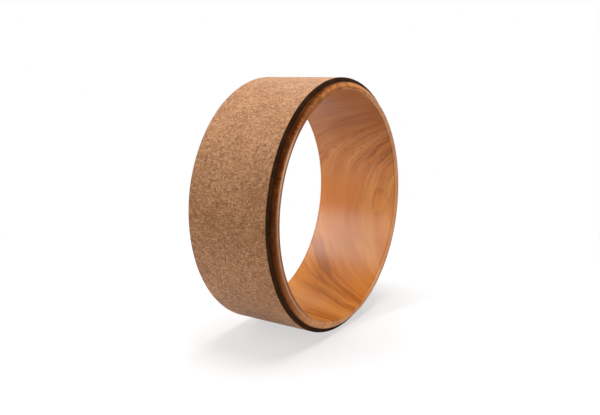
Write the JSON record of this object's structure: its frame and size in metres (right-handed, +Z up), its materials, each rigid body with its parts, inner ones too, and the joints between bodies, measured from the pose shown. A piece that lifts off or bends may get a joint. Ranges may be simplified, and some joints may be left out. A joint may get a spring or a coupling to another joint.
{
  "type": "yoga wheel",
  "caption": "Wide round hoop with a smooth open bore and crowned lips, padded round its outside with foam and covered with a cork tread, for back stretches and balance.",
  "frame": {"origin": "centre of the wheel: on its axle line, midway between its lips", "axes": "+Y along the axle line, +Z up; the wheel stands upright on its cork tread, and the two butt seams are on its +X side"},
  "size_m": [0.335, 0.135, 0.335],
  "materials": {
    "hoop_print": "moulded plastic with an orange-brown wood-grain print under gloss lacquer",
    "foam": "matt black closed-cell foam",
    "cork": "matt pressed cork granules, sanded",
    "bond_film": "thin adhesive film, hidden"
  },
  "bodies": {
    "root": {"hoop": "hoop_print", "foam_bond": "bond_film", "foam_band": "foam", "cork_bond": "bond_film", "cork_cover": "cork"}
  },
  "joints": []
}
